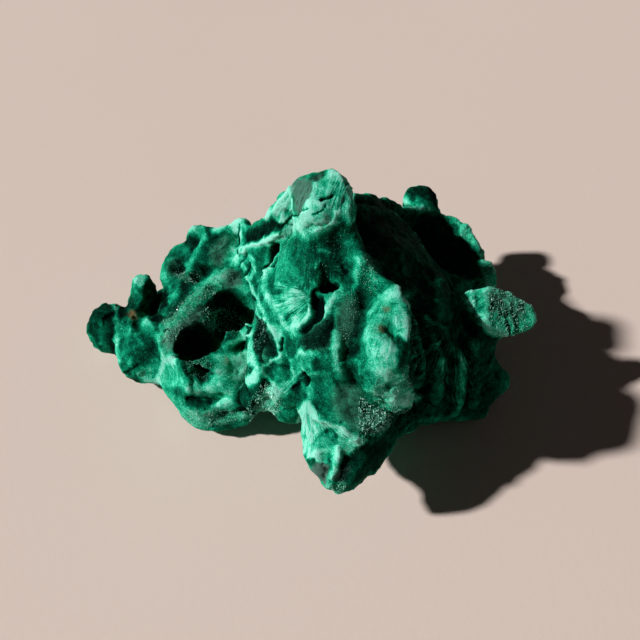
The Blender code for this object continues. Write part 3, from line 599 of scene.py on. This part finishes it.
def gap_to_path(spots, path):
    """How far each spot in the frame is from a path, in px, and on which side: 1 is the left of a path drawn down."""
    best = np.full(len(spots), np.inf)
    side = np.ones(len(spots))
    for start, end in zip(path, path[1:]):
        along = end - start
        part = np.clip((spots - start) @ along / (along @ along), 0, 1)
        away = spots - start - part[:, None] * along
        gap = np.linalg.norm(away, axis=1)
        closer = gap < best
        best[closer] = gap[closer]
        side[closer] = np.sign(along[0] * away[closer, 1] - along[1] * away[closer, 0])
    return best, side


def inside_outline(spots, outline):
    """True for the spots in the frame inside a closed outline."""
    within = np.zeros(len(spots), bool)
    for (x0, y0), (x1, y1) in zip(outline, outline[1:]):
        crosses = (y0 > spots[:, 1]) != (y1 > spots[:, 1])
        if y0 != y1:
            within ^= crosses & (spots[:, 0] < (x1 - x0) * (spots[:, 1] - y0) / (y1 - y0) + x0)
    return within


def read_rows(items, name, width, kind=float):
    """What a mesh says of its vertices or edges, as a row for each."""
    values = np.empty(len(items) * width, kind)
    items.foreach_get(name, values)
    return values.reshape(-1, width)


class Skin:
    """The stone's skin as arrays: places and normals in millimetres, and what is painted on it."""

    def __init__(self, mesh):
        count = len(mesh.vertices)
        self.places = read_rows(mesh.vertices, "co", 3)
        self.normals = read_rows(mesh.vertices, "normal", 3)
        self.edges = read_rows(mesh.edges, "vertices", 2, np.int64)
        self.links = np.bincount(self.edges.ravel(), minlength=count)
        self.paint = {name: np.zeros(count) for name in ("tone", "grey", "stain", "fibre", "druse", "calm")}

    def averaged(self, values, rounds):
        """Values spread over the skin from neighbour to neighbour."""
        flat = values.reshape(len(values), -1).copy()
        first, second = self.edges.T
        for _ in range(rounds):
            for column in flat.T:
                total = np.bincount(first, column[second], len(column))
                total += np.bincount(second, column[first], len(column))
                column += SPREAD * (total / self.links - column)
        return flat.reshape(values.shape)

    def look(self, solid):
        """Notes where the camera sees each place, and which it sees at all."""
        self.spots = to_frame(self.places)
        for strength, size, octaves, seed in WAVERS:
            for axis in range(2):
                self.spots[:, axis] += strength * rough_noise(self.places, size, octaves, seed + axis)
        eye = Vector(EYE * MM)
        seen = np.zeros(len(self.places))
        facing = dots(self.normals, EYE - self.places) > 0
        starts = (self.places + self.normals * SEEN_GAP) * MM
        for index in np.nonzero(facing)[0]:
            start = Vector(starts[index])
            if solid.ray_cast(start, eye - start)[0] is None:
                seen[index] = 1
        self.seen = self.averaged(seen, 4)

    def near(self, points, reach):
        """The places that the camera sees within reach px of the box round some points."""
        low = np.min(points, axis=0) - reach
        high = np.max(points, axis=0) + reach
        inside = np.all((self.spots > low) & (self.spots < high), axis=1)
        return np.nonzero(inside & (self.seen > LEAST_SEEN))[0]

    def path_weight(self, path, half_width):
        """Places near a path, with a round-topped weight that falls to 0 at twice its half width."""
        points = read_points(path)
        near = self.near(points, half_width * 2)
        gap, _ = gap_to_path(self.spots[near], curved(points))
        return near, (1 - ease(gap, half_width * 0.3, half_width * 1.7)) * self.seen[near]

    def fold_weight(self, path, climb, drop):
        """Places near a crest, with a weight that climbs to it on one side and drops on the other."""
        points = read_points(path)
        near = self.near(points, max(climb, drop))
        gap, side = gap_to_path(self.spots[near], curved(points))
        return near, (1 - ease(gap, 0, np.where(side > 0, climb, drop))) * self.seen[near]

    def outline_weight(self, outline, softness):
        """Places in an outline, with a weight that falls off across its edge."""
        points = read_points(outline)
        near = self.near(points, softness)
        spots = self.spots[near]
        ring = curved(points, closed=True)
        gap, _ = gap_to_path(spots, ring)
        gap[inside_outline(spots, ring)] *= -1
        return near, (1 - ease(gap, -softness, softness)) * self.seen[near]


def link(ob):
    bpy.context.scene.collection.objects.link(ob)
    return ob


def modified_mesh(ob, name, kind, **settings):
    """The mesh that a modifier makes of an object."""
    modifier = ob.modifiers.new(name, kind)
    for key, value in settings.items():
        setattr(modifier, key, value)
    graph = bpy.context.evaluated_depsgraph_get()
    return bpy.data.meshes.new_from_object(ob.evaluated_get(graph))


def replace_mesh(ob, mesh):
    old = ob.data
    ob.modifiers.clear()
    ob.data = mesh
    bpy.data.meshes.remove(old)


def fine_copy(node):
    """A finely and evenly meshed copy of a solid, in millimetres, with its facets smoothed away."""
    welded = bmesh.new()
    welded.from_mesh(node.data)
    bmesh.ops.scale(welded, vec=(1 / MM,) * 3, verts=welded.verts)
    bmesh.ops.remove_doubles(welded, verts=welded.verts, dist=0.001)
    mesh = bpy.data.meshes.new("stone")
    welded.to_mesh(mesh)
    welded.free()
    stone = link(bpy.data.objects.new("stone", mesh))
    replace_mesh(stone, modified_mesh(stone, "skin", "REMESH", mode="VOXEL", voxel_size=SKIN_VOXEL))
    replace_mesh(stone, modified_mesh(stone, "smooth", "SMOOTH", factor=0.5, iterations=SKIN_ROUNDS))
    return stone


def sculpt_marks(skin):
    """Bands and folds stand proud, and gaps and cracks sink in."""
    lift = np.zeros(len(skin.places))
    for half_width, _, _, height, path in BANDS.values():
        near, weight = skin.path_weight(path, half_width * 1.4)
        lift[near] += height * weight
    for climb, drop, height, path in FOLDS.values():
        near, weight = skin.fold_weight(path, climb, drop)
        lift[near] += height * weight
    for depth, softness, outline in GAPS.values():
        near, weight = skin.outline_weight(outline, softness * 1.5)
        lift[near] -= depth * weight
    for half_width, depth, path in CRACKS.values():
        near, weight = skin.path_weight(path, half_width)
        lift[near] -= depth * weight
    return lift


def paint_marks(skin):
    """Lays the patches, bands, gaps and cracks over each other as tones; gaps are painted black and cracks dark, as
    painted shade.
    """
    tone = skin.paint["tone"]
    broken = np.clip(0.86 + 0.5 * rough_noise(skin.places, 0.9, 2, seed=91), 0, 1)

    def lay(near, weight, target):
        tone[near] += weight * (target - tone[near])

    for target, strength, softness, outline in PATCHES.values():
        near, weight = skin.outline_weight(outline, softness)
        lay(near, weight * strength, target)
    for half_width, target, strength, _, path in BANDS.values():
        near, weight = skin.path_weight(path, half_width)
        lay(near, weight * strength * broken[near], target)
    for _, softness, outline in GAPS.values():
        near, weight = skin.outline_weight(outline, softness)
        lay(near, weight, 0.0)
    for half_width, _, path in CRACKS.values():
        near, weight = skin.path_weight(path, half_width)
        lay(near, weight * CRACK_SHADE_STRENGTH, CRACK_SHADE_TONE)
    for table, layer in ((GREY_PATCHES, "grey"), (STAINS, "stain"), (DRUSES, "druse")):
        for strength, softness, outline in table.values():
            near, weight = skin.outline_weight(outline, softness)
            skin.paint[layer][near] = np.maximum(skin.paint[layer][near], strength * weight)


def lay_calm(skin):
    """Notes the smoother skin of some patches, and of the bands."""
    calm = skin.paint["calm"]
    for name in CALM_PATCHES:
        _, _, softness, outline = PATCHES[name]
        near, weight = skin.outline_weight(outline, softness)
        calm[near] = np.maximum(calm[near], PATCH_CALM * weight)
    for half_width, _, _, _, path in BANDS.values():
        near, weight = skin.path_weight(path, half_width)
        calm[near] = np.maximum(calm[near], BAND_CALM * weight)


def lay_fibre(skin):
    """Where each place lies along and across its bundle of fibres, which spread from the middle of the bundle."""
    middles, _ = nearest_cells(skin.places, BUNDLE_SPACING, seed=5)
    grain = units(skin.places - middles)
    skin.paint["fibre"] += 0.3 * ease(rough_noise(skin.places, 6.0, 2, seed=7), -0.4, 0.5)
    for strength, softness, origin, outline in FANS.values():
        near, weight = skin.outline_weight(outline, softness)
        away = to_frame(skin.places[near]) - origin
        reach = np.linalg.norm(away, axis=1)
        needles = np.column_stack([units(away) * np.mean(reach), reach * NEEDLE_STRETCH]) / NEEDLE_PX
        chosen = weight > 0.3
        grain[near[chosen]] = needles[chosen]
        skin.paint["fibre"][near] = np.maximum(skin.paint["fibre"][near], strength * weight)
    return grain


def sculpt_texture(skin, grain):
    """Relief that covers the whole stone: swells, warts, fibre grooves, facets and grit."""
    places = skin.places
    _, wart_gap = nearest_cells(places, WART_SPACING, seed=21)
    middle, _ = nearest_cells(places, FACET_SPACING, seed=25)
    tilt = hashed_threes(np.round(middle * 1000).astype(np.int64), 27) - 0.5
    warty = ease(rough_noise(places, 9.0, 2, seed=31), -0.1, 0.7) * (1 - skin.seen)
    rough = 1 - 0.8 * skin.paint["calm"]
    fibre = skin.paint["fibre"]
    lift = SWELL_HEIGHT * rough_noise(places, 2.8, 3, seed=41) * (0.4 + 0.6 * rough)
    lift += WART_HEIGHT * (0.5 - wart_gap / WART_SPACING) * warty
    lift += FIBRE_HEIGHT * noise(grain * 12, 1.0, seed=51) * fibre
    lift += FACET_SLOPE * dots(places - middle, tilt) * rough
    lift += GRIT_HEIGHT * rough_noise(places, 1.0, 2, seed=61) * rough * (1 - 0.5 * fibre)
    return lift


def form_tone_and_painted_shade(skin):
    """Edges and swells are painted paler, partly the stone's pale rims and partly painted highlight, and hollows
    darker as painted shade.
    """
    hidden = 1 - skin.seen
    tone = np.zeros(len(skin.places))
    form = skin.places
    for rounds, strength, more, least, most in FORM_SHADE_TONES:
        broader = skin.averaged(form, rounds)
        tone += (strength + more * hidden) * np.clip(dots(form - broader, skin.normals), least, most)
        form = broader
    tone += (0.05 + 0.06 * hidden) * rough_noise(skin.places, 5.0, 3, seed=71)
    return tone


def paint_unseen(skin):
    """Soft pale bands and dark pools on the sides that no mark is drawn on."""
    hidden = 1 - skin.seen
    ridge = 1 - np.abs(rough_noise(skin.places, 8.0, 3, seed=101))
    pool = rough_noise(skin.places, 7.0, 2, seed=111)
    skin.paint["tone"] += hidden * (0.32 * ease(ridge, 0.84, 1.0) - 0.20 * ease(pool, 0.25, 0.8))
    skin.paint["grey"] += 0.5 * hidden * ease(rough_noise(skin.places, 6.0, 2, seed=121), 0.35, 0.8)
    skin.paint["druse"] += 0.4 * hidden * ease(rough_noise(skin.places, 5.0, 2, seed=131), 0.35, 0.8)


def store(mesh, skin, grain):
    """Writes the skin's paint to the mesh as attributes."""
    for name, values in skin.paint.items():
        mesh.attributes.new(name, "FLOAT", "POINT").data.foreach_set("value", values.astype(np.float32))
    layer = mesh.attributes.new("grain", "FLOAT_VECTOR", "POINT")
    layer.data.foreach_set("vector", grain.astype(np.float32).ravel())


def make_stone(node):
    solid = BVHTree.FromObject(node, bpy.context.evaluated_depsgraph_get())
    stone = fine_copy(node)
    mesh = stone.data
    skin = Skin(mesh)
    skin.look(solid)
    lay_calm(skin)
    grain = lay_fibre(skin)
    lift = sculpt_marks(skin) + sculpt_texture(skin, grain)
    skin.places += skin.normals * lift[:, None]
    skin.places[:, 2] = np.maximum(skin.places[:, 2], 0)
    mesh.vertices.foreach_set("co", skin.places.ravel())
    mesh.update()
    skin.normals = read_rows(mesh.vertices, "normal", 3)
    skin.paint["tone"] += GROUND_TONE
    paint_unseen(skin)
    paint_marks(skin)
    skin.paint["tone"] += form_tone_and_painted_shade(skin)
    store(mesh, skin, grain)
    mesh.vertices.foreach_set("co", (skin.places * MM).ravel())
    keep = min(SKIN_TRIANGLES / (2 * len(mesh.polygons)), 1.0)
    replace_mesh(stone, modified_mesh(stone, "thin", "DECIMATE", ratio=keep, use_collapse_triangulate=True))
    stone.data.shade_smooth()
    return stone, skin


def grow_crystals(skin):
    """Small crystals stand on the druse, more of them where more of the skin is covered."""
    chance = hashed(np.floor(skin.places * 1000).astype(np.int64), 141)
    wanted = skin.paint["druse"] * CRYSTAL_SHARE
    chosen = np.nonzero((chance < wanted) & (skin.places[:, 2] > CRYSTAL_FLOOR))[0]
    least, most = CRYSTAL_SIZES
    size = least + (most - least) * hashed(chosen[:, None] * np.array((1, 3, 7)), 151)
    size = (size * (0.6 + 0.8 * skin.paint["druse"][chosen]))[:, None]
    lean = hashed_threes(chosen[:, None] * np.array((1, 5, 11)), 161) - 0.5
    axis = units(skin.normals[chosen] + CRYSTAL_LEAN * lean)
    side = units(np.cross(axis, lean + np.array((0.3, 0.2, 0.1))))
    other = np.cross(axis, side)
    root = skin.places[chosen]
    corners = [root + axis * size * CRYSTAL_HEIGHT]
    for turn in range(CRYSTAL_SIDES):
        angle = math.tau * turn / CRYSTAL_SIDES
        corners.append(root + (side * math.cos(angle) + other * math.sin(angle)) * size * CRYSTAL_RADIUS)
    corners = np.stack(corners, axis=1).reshape(-1, 3) * MM
    base = np.arange(len(chosen))[:, None] * (CRYSTAL_SIDES + 1)
    faces = np.concatenate([base + np.array(face) for face in CRYSTAL_FACES])
    mesh = bpy.data.meshes.new("druse")
    mesh.from_pydata(corners.tolist(), [], faces.tolist())
    return link(bpy.data.objects.new("druse", mesh))


class Shader:
    """Short calls for building a node tree."""

    def __init__(self, name):
        self.material = bpy.data.materials.new(name)
        self.material.use_nodes = True
        self.tree = self.material.node_tree
        self.surface = self.tree.nodes["Principled BSDF"].inputs

    def node(self, kind, **settings):
        made = self.tree.nodes.new(kind)
        for key, value in settings.items():
            setattr(made, key, value)
        return made

    def set(self, socket, value):
        """A socket takes another node's output or a plain value."""
        if isinstance(value, bpy.types.NodeSocket):
            self.tree.links.new(value, socket)
        else:
            socket.default_value = value

    def math(self, operation, first, second=0.0, third=0.0):
        made = self.node("ShaderNodeMath", operation=operation)
        for socket, value in zip(made.inputs, (first, second, third)):
            self.set(socket, value)
        return made.outputs[0]

    def add(self, value, factor, rest):
        """A value times a factor, and the rest."""
        return self.math("MULTIPLY_ADD", value, factor, rest)

    def use(self, name, value):
        """Gives the surface a value or another node's output."""
        self.set(self.surface[name], value)

    def fill(self, made, **values):
        for name, value in values.items():
            self.set(made.inputs[name], value)

    def place(self):
        return self.node("ShaderNodeTexCoord").outputs["Object"]

    def attribute(self, name, output="Fac"):
        return self.node("ShaderNodeAttribute", attribute_name=name).outputs[output]

    def noise(self, vector, scale, detail, roughness):
        made = self.node("ShaderNodeTexNoise")
        self.fill(made, Vector=vector, Scale=scale, Detail=detail, Roughness=roughness)
        return made.outputs["Fac"]

    def step(self, value, low, high, bottom=0.0, top=1.0):
        made = self.node("ShaderNodeMapRange", interpolation_type="SMOOTHSTEP")
        for socket, number in zip(made.inputs, (value, low, high, bottom, top)):
            self.set(socket, number)
        return made.outputs["Result"]

    def mix(self, part, first, second):
        made = self.node("ShaderNodeMix", data_type="RGBA")
        self.fill(made, Factor=part, A=first, B=second)
        return made.outputs["Result"]

    def ramp(self, value, stops):
        made = self.node("ShaderNodeValToRGB")
        self.set(made.inputs["Fac"], value)
        colours = made.color_ramp.elements
        while len(colours) < len(stops):
            colours.new(0.5)
        for element, (place, colour) in zip(colours, stops):
            element.position = place
            element.color = (*colour, 1.0)
        return made.outputs["Color"]

    def relief(self, height, strength, distance):
        """Tilts the surface as a height in mm would."""
        bump = self.node("ShaderNodeBump")
        self.fill(bump, Strength=strength, Distance=distance * MM, Height=height)
        self.use("Normal", bump.outputs["Normal"])


def malachite():
    """Velvety fibrous malachite: speckled greens by tone, streaked along the fibre."""
    shader = Shader("malachite")
    place = shader.place()
    fibre = shader.attribute("fibre")
    speckle = shader.math("SUBTRACT", shader.noise(place, *SPECKLE), 0.5)
    mottle = shader.math("SUBTRACT", shader.noise(place, *MOTTLE), 0.5)
    streaks = shader.math("SUBTRACT", shader.noise(shader.attribute("grain", "Vector"), *STREAKS), 0.5)
    streaks = shader.math("MULTIPLY", streaks, fibre)
    # pale flecks raise the tone, more on the druse: painted glints, also used in the bump
    glint_flecks = shader.step(shader.noise(place, *GLINT_FLECKS), 0.56, 0.68)
    glint_flecks = shader.math("MULTIPLY", glint_flecks, shader.add(shader.attribute("druse"), 0.30, 0.20))
    speckled = shader.math("MULTIPLY", shader.step(fibre, 0.0, 1.0, 1.00, 0.55),
                           shader.step(shader.attribute("calm"), 0.0, 1.0, 1.0, 0.8))
    shade = shader.add(speckle, speckled, shader.attribute("tone"))
    shade = shader.add(mottle, 0.45, shade)
    shade = shader.add(streaks, 1.5, shade)
    shade = shader.math("ADD", shade, glint_flecks)
    grey = shader.mix(shader.step(shade, 0.16, 0.56), GREY_DARK, GREY_GREEN)
    colour = shader.mix(shader.attribute("grey"), shader.ramp(shade, GREENS), grey)
    colour = shader.mix(shader.attribute("stain"), colour, IRON_STAIN)
    shader.use("Base Color", colour)
    shader.use("Roughness", shader.step(shade, 0.2, 0.9, 0.50, 0.68))
    height = shader.add(streaks, 1.4, speckle)
    height = shader.add(glint_flecks, 1.5, height)
    shader.relief(height, 1.0, 0.20)
    shader.use("Sheen Weight", 0.01)
    shader.use("Sheen Roughness", 0.35)
    shader.use("Sheen Tint", (0.20, 0.95, 0.65, 1.0))
    shader.use("IOR", 1.04)
    return shader.material


def crystal_mint():
    """Small glassy crystals, from green to nearly white."""
    shader = Shader("crystal_mint")
    pale = shader.step(shader.noise(shader.place(), *CRYSTAL_MOTTLE), 0.36, 0.60)
    shader.use("Base Color", shader.mix(pale, CRYSTAL_GREEN, CRYSTAL_PALE))
    shader.use("Roughness", 0.28)
    return shader.material


def floor_paper():
    """Warm pale paper with a trace of unevenness."""
    shader = Shader("floor_paper")
    place = shader.place()
    colour = shader.mix(shader.noise(place, *PAPER_PATCHES), PAPER_DARK, PAPER_LIGHT)
    shader.use("Base Color", colour)
    shader.use("Roughness", 0.85)
    shader.relief(shader.noise(place, *PAPER_GRAIN), 0.15, 0.1)
    return shader.material


def make_floor():
    grid = bmesh.new()
    bmesh.ops.create_grid(grid, x_segments=8, y_segments=8, size=FLOOR_REACH)
    mesh = bpy.data.meshes.new("floor")
    grid.to_mesh(mesh)
    grid.free()
    floor = link(bpy.data.objects.new("floor", mesh))
    floor.data.materials.append(floor_paper())


def aim_along(ob, direction):
    ob.rotation_mode = "QUATERNION"
    ob.rotation_quaternion = Vector(direction).to_track_quat("-Z", "Y")


def light_scene():
    """A low key light from the left and an even, weaker fill."""
    key = bpy.data.lights.new("key", "SUN")
    key.energy = SUN_STRENGTH
    key.color = SUN_COLOUR
    key.angle = SUN_WIDTH
    level = math.cos(SUN_HEIGHT)
    lamp = link(bpy.data.objects.new("key", key))
    aim_along(lamp, (level * math.cos(SUN_TURN), level * math.sin(SUN_TURN), -math.sin(SUN_HEIGHT)))
    world = bpy.data.worlds.new("fill")
    world.use_nodes = True
    background = world.node_tree.nodes["Background"].inputs
    background["Color"].default_value = FILL_COLOUR
    background["Strength"].default_value = FILL_STRENGTH
    bpy.context.scene.world = world
    bpy.context.scene.view_settings.view_transform = "Standard"


def place_camera():
    camera = bpy.data.cameras.new("camera")
    camera.sensor_width = SENSOR_WIDTH
    camera.lens = FOCAL_PX / FRAME_PX * SENSOR_WIDTH
    camera.clip_start = 0.001
    holder = link(bpy.data.objects.new("camera", camera))
    holder.location = EYE * MM
    aim_along(holder, AHEAD)
    bpy.context.scene.camera = holder


stone, skin = make_stone(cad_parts[NODE])
stone.data.materials.append(malachite())
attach(stone, "root")
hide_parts(NODE)
druse = grow_crystals(skin)
druse.data.materials.append(crystal_mint())
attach(druse, "root")
make_floor()
light_scene()
place_camera()
